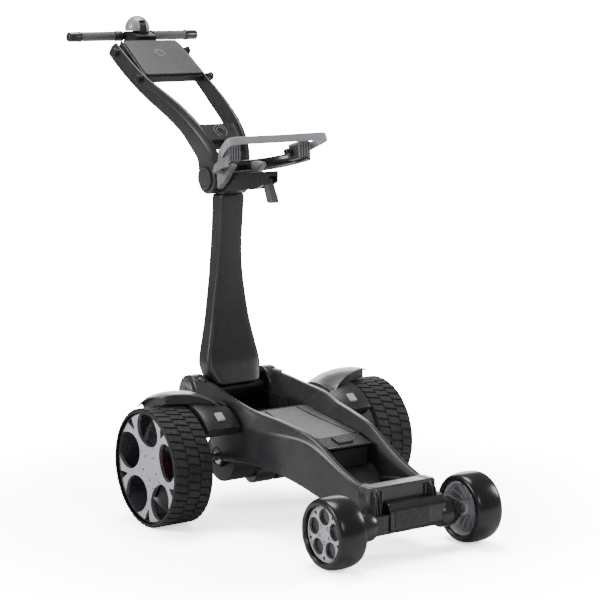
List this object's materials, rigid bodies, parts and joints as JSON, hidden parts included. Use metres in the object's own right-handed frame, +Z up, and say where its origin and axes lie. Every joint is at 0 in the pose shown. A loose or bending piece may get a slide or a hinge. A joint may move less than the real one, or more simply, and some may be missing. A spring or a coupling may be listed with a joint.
{
  "type": "electric golf trolley",
  "caption": "Powered folding golf trolley with a tall flared post, looped bag cradle, two-armed handle, geared rear wheels and small front wheels.",
  "frame": {"origin": "centre of the footprint on the ground, under the middle of the box around the whole trolley", "axes": "+Z up, -Y forward in the direction of travel, +X to the right of the person walking behind it"},
  "size_m": [0.612, 1.099, 1.0465],
  "materials": {
    "bar_black": "black powder coat",
    "battery_black": "fine spark texture",
    "board_green": "solder mask",
    "cap_grey": "dark grey moulding",
    "cast_black": "black glass-filled moulding",
    "chassis_plastic": "graphite moulding, satin gloss",
    "cradle_grey": "mid grey moulding",
    "dome_silver": "silver grey moulding",
    "front_rubber": "smooth polished rubber",
    "gear_steel": "hobbed steel, oiled",
    "gearbox_black": "black moulded",
    "grip_rubber": "grey soft grip",
    "guard_plastic": "mid grey moulding",
    "handle_plastic": "charcoal satin moulding",
    "hatch_plastic": "graphite moulding, satin gloss",
    "hub_dark": "dark grey moulded",
    "hub_silver": "silver paint, fine metallic flake",
    "knob_black": "black soft-touch",
    "lid_grey": "grey satin panel",
    "motor_black": "black painted can",
    "pad_rubber": "black soft rubber",
    "pan_black": "black moulded",
    "post_paint": "charcoal satin paint",
    "red_plastic": "dark red moulded",
    "steel": "ground steel",
    "strap_grey": "light grey rubber",
    "stud_black": "black moulded",
    "tray_black": "black moulded",
    "tread_rubber": "matt tread rubber with lateral grooves"
  },
  "bodies": {
    "rear_wheel_left": {"drive_gear_left": "gear_steel", "drive_shaft_left": "steel", "rear_rim_left": "hub_dark", "rear_tyre_left": "tread_rubber", "rear_wheel_cover_left": "hub_silver"},
    "release_collar_left": {"wheel_release_collar_left": "red_plastic"},
    "front_wheel_left": {"front_bearings_left": "steel", "front_rim_left": "hub_silver", "front_tyre_left": "front_rubber"},
    "pinion_left": {"motor_pinion_left": "gear_steel"},
    "chassis": {"axle_bearings": "steel", "battery_pack": "battery_black", "chassis_rail_left": "chassis_plastic", "chassis_rail_right": "chassis_plastic", "chassis_screws": "steel", "drive_motor_left": "motor_black", "drive_motor_right": "motor_black", "front_axle": "steel", "front_axle_bracket": "pan_black", "front_crossmember": "chassis_plastic", "gearbox_housing_left": "gearbox_black", "gearbox_housing_right": "gearbox_black", "gearbox_lids": "gearbox_black", "lower_bag_rest": "pad_rubber", "motor_controller": "board_green", "mudguard_left": "guard_plastic", "mudguard_right": "guard_plastic", "neck_hinge_caps": "guard_plastic", "neck_hinge_pin": "steel", "underpan": "pan_black"},
    "rear_wheel_right": {"drive_gear_right": "gear_steel", "drive_shaft_right": "steel", "rear_rim_right": "hub_dark", "rear_tyre_right": "tread_rubber", "rear_wheel_cover_right": "hub_silver"},
    "release_collar_right": {"wheel_release_collar_right": "red_plastic"},
    "front_wheel_right": {"front_bearings_right": "steel", "front_rim_right": "hub_silver", "front_tyre_right": "front_rubber"},
    "pinion_right": {"motor_pinion_right": "gear_steel"},
    "battery_hatch": {"battery_hatch": "hatch_plastic"},
    "hatch_latch": {"hatch_latch": "hatch_plastic"},
    "post": {"bag_cradle": "cradle_grey", "bag_strap": "strap_grey", "cradle_liner": "pad_rubber", "handle_pivot_pin": "steel", "post_foot": "cast_black", "post_head": "cast_black", "post_shell": "post_paint"},
    "release_lever": {"release_lever": "cradle_grey"},
    "handle": {"accessory_studs": "stud_black", "console_tray": "tray_black", "grip_caps": "bar_black", "grips": "grip_rubber", "handle_frame": "handle_plastic", "handle_pivot_caps": "cap_grey", "handlebar": "bar_black", "speed_housing": "dome_silver"},
    "console_lid": {"console_lid": "lid_grey"},
    "speed_wheel": {"speed_wheel": "knob_black"}
  },
  "joints": [
    {"name": "rear_wheel_left_spin", "type": "hinge", "parent": "chassis", "child": "rear_wheel_left", "pos_m": [-0.26, 0.0025, 0.125], "axis": [1, 0, 0], "continuous": true},
    {"name": "front_wheel_left_spin", "type": "hinge", "parent": "chassis", "child": "front_wheel_left", "pos_m": [-0.169, -0.4775, 0.072], "axis": [1, 0, 0], "continuous": true},
    {"name": "pinion_left_spin", "type": "hinge", "parent": "chassis", "child": "pinion_left", "pos_m": [-0.076, -0.01215, 0.09048], "axis": [1, 0, 0], "continuous": true},
    {"name": "release_collar_left_slide", "type": "slide", "parent": "rear_wheel_left", "child": "release_collar_left", "axis": [-1, 0, 0], "range_m": [0, 0.005], "stiffness_N_per_m": 600, "springref_m": -0.002},
    {"name": "rear_wheel_right_spin", "type": "hinge", "parent": "chassis", "child": "rear_wheel_right", "pos_m": [0.26, 0.0025, 0.125], "axis": [1, 0, 0], "continuous": true},
    {"name": "front_wheel_right_spin", "type": "hinge", "parent": "chassis", "child": "front_wheel_right", "pos_m": [0.169, -0.4775, 0.072], "axis": [1, 0, 0], "continuous": true},
    {"name": "pinion_right_spin", "type": "hinge", "parent": "chassis", "child": "pinion_right", "pos_m": [0.076, -0.01215, 0.09048], "axis": [1, 0, 0], "continuous": true},
    {"name": "release_collar_right_slide", "type": "slide", "parent": "rear_wheel_right", "child": "release_collar_right", "axis": [1, 0, 0], "range_m": [0, 0.005], "stiffness_N_per_m": 600, "springref_m": -0.002},
    {"name": "neck_fold", "type": "hinge", "parent": "chassis", "child": "post", "pos_m": [0, 0.1405, 0.238], "axis": [1, 0, 0], "range_deg": [0, 75]},
    {"name": "handle_fold", "type": "hinge", "parent": "post", "child": "handle", "pos_m": [0, 0.1575, 0.702], "axis": [1, 0, 0], "range_deg": [-110, 0]},
    {"name": "console_lid_open", "type": "hinge", "parent": "handle", "child": "console_lid", "pos_m": [0, 0.4713, 0.9914], "axis": [1, 0, 0], "range_deg": [-95, 0]},
    {"name": "speed_wheel_turn", "type": "hinge", "parent": "handle", "child": "speed_wheel", "pos_m": [0, 0.5065, 1.014], "axis": [1, 0, 0], "continuous": true},
    {"name": "release_lever_pull", "type": "hinge", "parent": "post", "child": "release_lever", "pos_m": [0, -0.0095, 0.706], "axis": [1, 0, 0], "range_deg": [0, 18], "stiffness_Nm_per_rad": 0.3, "springref_deg": -11.46},
    {"name": "battery_hatch_open", "type": "hinge", "parent": "chassis", "child": "battery_hatch", "pos_m": [0, -0.0515, 0.221], "axis": [1, 0, 0], "range_deg": [-80, 0]},
    {"name": "hatch_latch_lift", "type": "hinge", "parent": "chassis", "child": "hatch_latch", "pos_m": [0, -0.3005, 0.186], "axis": [1, 0, 0], "range_deg": [0, 60]}
  ],
  "couplings": [
    {"joint": "pinion_left_spin", "follows": "rear_wheel_left_spin", "ratio": -4},
    {"joint": "pinion_right_spin", "follows": "rear_wheel_right_spin", "ratio": -4}
  ]
}
